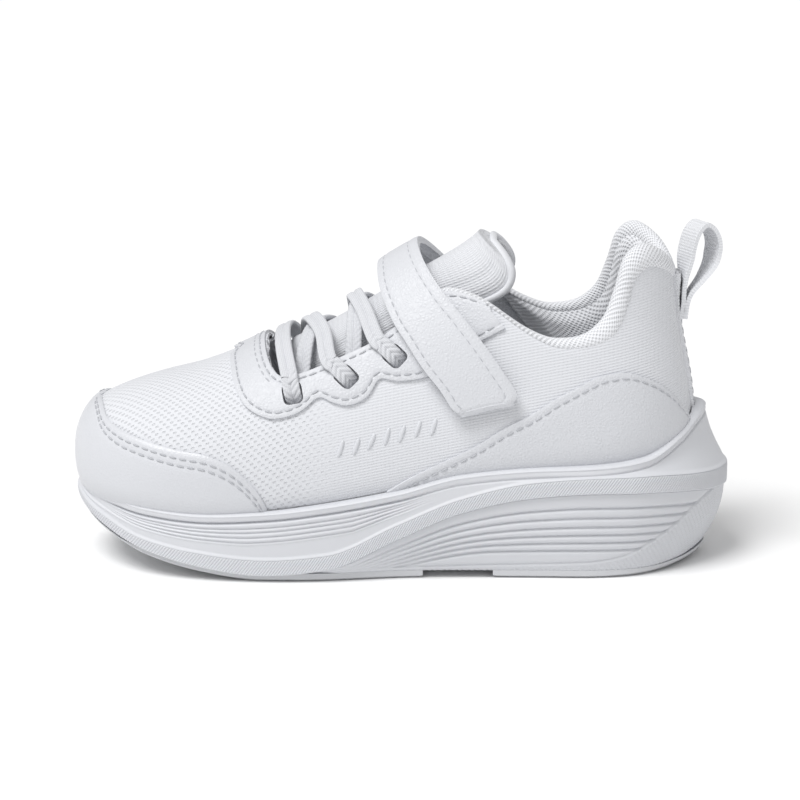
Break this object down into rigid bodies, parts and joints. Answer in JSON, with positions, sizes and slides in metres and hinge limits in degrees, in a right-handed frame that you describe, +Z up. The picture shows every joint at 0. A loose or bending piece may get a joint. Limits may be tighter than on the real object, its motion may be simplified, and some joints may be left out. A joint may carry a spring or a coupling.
{
  "type": "running shoe",
  "caption": "Low running shoe with a mesh upper, sewn overlays, flat elastic laces, one hook-and-loop strap, a padded collar, a heel pull loop and a thick moulded sole.",
  "frame": {"origin": "on the ground under the middle of the shoe's box", "axes": "+X from toe to heel, +Y towards the medial (inner) side, +Z up"},
  "size_m": [0.2106, 0.0791, 0.1077],
  "materials": {
    "upper_mesh": "matte perforated knit",
    "synthetic_leather": "fine grain, satin",
    "toe_skin": "smooth, satin",
    "sole_foam": "smooth moulded foam",
    "outsole_rubber": "matte moulded rubber",
    "lining_mesh": "spacer mesh with small dots",
    "tongue_knit": "fine ribbed knit",
    "elastic": "herringbone woven elastic",
    "webbing": "ribbed webbing",
    "foam": "open-cell foam",
    "stiffener": "pressed fibre sheet",
    "board": "non-woven board",
    "sockliner": "foam with a knit top",
    "hook_tape": "hook tape",
    "loop_tape": "loop tape"
  },
  "bodies": {
    "shoe": {"back_strip": "webbing", "collar_foam": "foam", "collar_roll": "lining_mesh", "eyestay": "synthetic_leather", "heel_counter": "stiffener", "heel_lining": "lining_mesh", "heel_wedge": "sole_foam", "insole_board": "board", "lace_cross_1_over": "elastic", "lace_cross_1_under": "elastic", "lace_cross_2_over": "elastic", "lace_cross_2_under": "elastic", "lace_front_bar": "elastic", "loop_patch": "loop_tape", "mesh_upper": "upper_mesh", "midsole": "sole_foam", "outsole_forefoot": "outsole_rubber", "outsole_heel": "outsole_rubber", "quarter_overlay_lateral": "synthetic_leather", "quarter_overlay_medial": "synthetic_leather", "sockliner": "sockliner", "strap_anchor": "synthetic_leather", "toe_overlay": "toe_skin", "toe_puff": "stiffener", "vamp_lining": "lining_mesh"},
    "strap": {"strap": "synthetic_leather", "hook_patch": "hook_tape"},
    "tongue": {"tongue_cover": "tongue_knit", "tongue_foam": "foam", "tongue_lining": "lining_mesh"},
    "pull_loop": {"pull_loop": "webbing"}
  },
  "joints": [
    {"name": "strap_peel", "type": "hinge", "parent": "shoe", "child": "strap", "pos_m": [0.01656, 0.02824, 0.07765], "axis": [-0.9596, -0.0475, -0.2772], "range_deg": [0, 115]},
    {"name": "tongue_tilt", "type": "hinge", "parent": "shoe", "child": "tongue", "pos_m": [-0.03665, 0, 0.06756], "axis": [0, 1, 0], "range_deg": [0, 12], "stiffness_Nm_per_rad": 0.05, "springref_deg": -11.46},
    {"name": "pull_loop_swing", "type": "hinge", "parent": "shoe", "child": "pull_loop", "pos_m": [0.0919, 0, 0.084], "axis": [0, 1, 0], "range_deg": [-5, 40], "stiffness_Nm_per_rad": 0.004}
  ]
}
